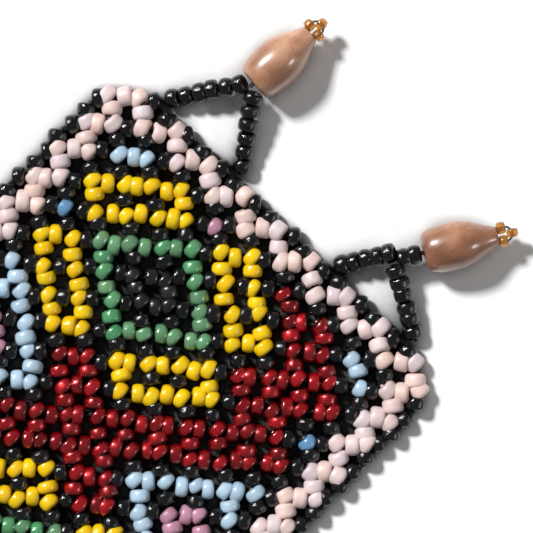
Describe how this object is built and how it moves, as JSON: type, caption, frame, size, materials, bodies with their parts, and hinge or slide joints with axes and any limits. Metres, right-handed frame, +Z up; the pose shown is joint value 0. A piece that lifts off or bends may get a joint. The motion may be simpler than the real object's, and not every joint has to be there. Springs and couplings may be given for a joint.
{
  "type": "netted bead wrist band",
  "caption": "Flexible band of small beads netted on thread in a stepped flower pattern, closed by oval wooden toggles at one end and beaded loops at the other.",
  "frame": {"origin": "centre of the underside, on the surface the band lies on, half way along and across the whole piece", "axes": "+X along the band towards the two toggles, +Y across the band, +Z up through its patterned face"},
  "size_m": [0.1548, 0.0496, 0.0052],
  "materials": {
    "black_glass": "glossy opaque",
    "pale_glass": "opaque, slightly matt",
    "coloured_glass": "glossy, each bead in one of nine colours",
    "amber_glass": "clear, glossy",
    "wood": "varnished",
    "thread": "waxed nylon"
  },
  "bodies": {
    "band_01": {"black_beads_01": "black_glass", "border_beads_01": "pale_glass", "motif_beads_01": "coloured_glass", "net_thread_01": "thread"},
    "band_02": {"black_beads_02": "black_glass", "border_beads_02": "pale_glass", "motif_beads_02": "coloured_glass", "net_thread_02": "thread"},
    "band_03": {"black_beads_03": "black_glass", "border_beads_03": "pale_glass", "motif_beads_03": "coloured_glass", "net_thread_03": "thread"},
    "band_04": {"black_beads_04": "black_glass", "border_beads_04": "pale_glass", "motif_beads_04": "coloured_glass", "net_thread_04": "thread"},
    "band_05": {"black_beads_05": "black_glass", "border_beads_05": "pale_glass", "motif_beads_05": "coloured_glass", "net_thread_05": "thread"},
    "band_06": {"black_beads_06": "black_glass", "border_beads_06": "pale_glass", "net_thread_06": "thread"},
    "band_07": {"black_beads_07": "black_glass", "border_beads_07": "pale_glass", "motif_beads_07": "coloured_glass", "net_thread_07": "thread"},
    "band_08": {"black_beads_08": "black_glass", "border_beads_08": "pale_glass", "motif_beads_08": "coloured_glass", "net_thread_08": "thread"},
    "band_09": {"black_beads_09": "black_glass", "border_beads_09": "pale_glass", "motif_beads_09": "coloured_glass", "net_thread_09": "thread"},
    "band_10": {"black_beads_10": "black_glass", "border_beads_10": "pale_glass", "motif_beads_10": "coloured_glass", "net_thread_10": "thread"},
    "band_11": {"black_beads_11": "black_glass", "border_beads_11": "pale_glass", "motif_beads_11": "coloured_glass", "net_thread_11": "thread"},
    "toggle_legs_1": {"toggle_leg_beads_1": "black_glass", "toggle_leg_threads_1": "thread"},
    "toggle_drop_1": {"toggle_core_thread_1": "thread", "toggle_tip_beads_1": "amber_glass"},
    "toggle_bead_1": {"toggle_wood_1": "wood"},
    "loop_1": {"loop_beads_1": "black_glass", "loop_thread_1": "thread"},
    "toggle_legs_2": {"toggle_leg_beads_2": "black_glass", "toggle_leg_threads_2": "thread"},
    "toggle_drop_2": {"toggle_core_thread_2": "thread", "toggle_tip_beads_2": "amber_glass", "toggle_stem_beads_2": "black_glass"},
    "toggle_bead_2": {"toggle_wood_2": "wood"},
    "loop_2": {"loop_beads_2": "black_glass", "loop_thread_2": "thread"}
  },
  "joints": [
    {"name": "fold_01", "type": "hinge", "parent": "band_02", "child": "band_01", "pos_m": [0.04828, 0, 0.00102], "axis": [0, -1, 0], "range_deg": [-25, 25]},
    {"name": "fold_02", "type": "hinge", "parent": "band_03", "child": "band_02", "pos_m": [0.03663, 0, 0.00102], "axis": [0, -1, 0], "range_deg": [-25, 25]},
    {"name": "fold_03", "type": "hinge", "parent": "band_04", "child": "band_03", "pos_m": [0.02499, 0, 0.00102], "axis": [0, -1, 0], "range_deg": [-25, 25]},
    {"name": "fold_04", "type": "hinge", "parent": "band_05", "child": "band_04", "pos_m": [0.01334, 0, 0.00102], "axis": [0, -1, 0], "range_deg": [-25, 25]},
    {"name": "fold_05", "type": "hinge", "parent": "band_06", "child": "band_05", "pos_m": [0.0017, 0, 0.00102], "axis": [0, -1, 0], "range_deg": [-25, 25]},
    {"name": "fold_06", "type": "hinge", "parent": "band_06", "child": "band_07", "pos_m": [-0.00994, 0, 0.00102], "axis": [0, 1, 0], "range_deg": [-25, 25]},
    {"name": "fold_07", "type": "hinge", "parent": "band_07", "child": "band_08", "pos_m": [-0.02159, 0, 0.00102], "axis": [0, 1, 0], "range_deg": [-25, 25]},
    {"name": "fold_08", "type": "hinge", "parent": "band_08", "child": "band_09", "pos_m": [-0.03323, 0, 0.00102], "axis": [0, 1, 0], "range_deg": [-25, 25]},
    {"name": "fold_09", "type": "hinge", "parent": "band_09", "child": "band_10", "pos_m": [-0.04488, 0, 0.00102], "axis": [0, 1, 0], "range_deg": [-25, 25]},
    {"name": "fold_10", "type": "hinge", "parent": "band_10", "child": "band_11", "pos_m": [-0.05652, 0, 0.00102], "axis": [0, 1, 0], "range_deg": [-25, 25]},
    {"name": "toggle_1_legs", "type": "hinge", "parent": "band_01", "child": "toggle_legs_1", "pos_m": [0.06042, 0.0125, 0.00102], "axis": [0, -1, 0], "range_deg": [-60, 60]},
    {"name": "toggle_1_swing", "type": "hinge", "parent": "toggle_legs_1", "child": "toggle_drop_1", "pos_m": [0.06682, 0.01248, 0.0026], "axis": [-0.0785, -0.9969, 0], "range_deg": [-15, 30]},
    {"name": "toggle_1_spin", "type": "hinge", "parent": "toggle_drop_1", "child": "toggle_bead_1", "pos_m": [0.07081, 0.01217, 0.0026], "axis": [0.9969, -0.0785, 0], "continuous": true},
    {"name": "loop_1_swing", "type": "hinge", "parent": "band_11", "child": "loop_1", "pos_m": [-0.06866, 0.0125, 0.00102], "axis": [0, 1, 0], "range_deg": [-60, 60]},
    {"name": "toggle_2_legs", "type": "hinge", "parent": "band_01", "child": "toggle_legs_2", "pos_m": [0.06042, -0.0125, 0.00102], "axis": [0, -1, 0], "range_deg": [-60, 45]},
    {"name": "toggle_2_swing", "type": "hinge", "parent": "toggle_legs_2", "child": "toggle_drop_2", "pos_m": [0.06448, -0.01094, 0.0026], "axis": [-0.5446, -0.8387, 0], "range_deg": [-15, 30]},
    {"name": "toggle_2_spin", "type": "hinge", "parent": "toggle_drop_2", "child": "toggle_bead_2", "pos_m": [0.06783, -0.01311, 0.0026], "axis": [0.8387, -0.5446, 0], "continuous": true},
    {"name": "loop_2_swing", "type": "hinge", "parent": "band_11", "child": "loop_2", "pos_m": [-0.06866, -0.0125, 0.00102], "axis": [0, 1, 0], "range_deg": [-60, 60]}
  ]
}
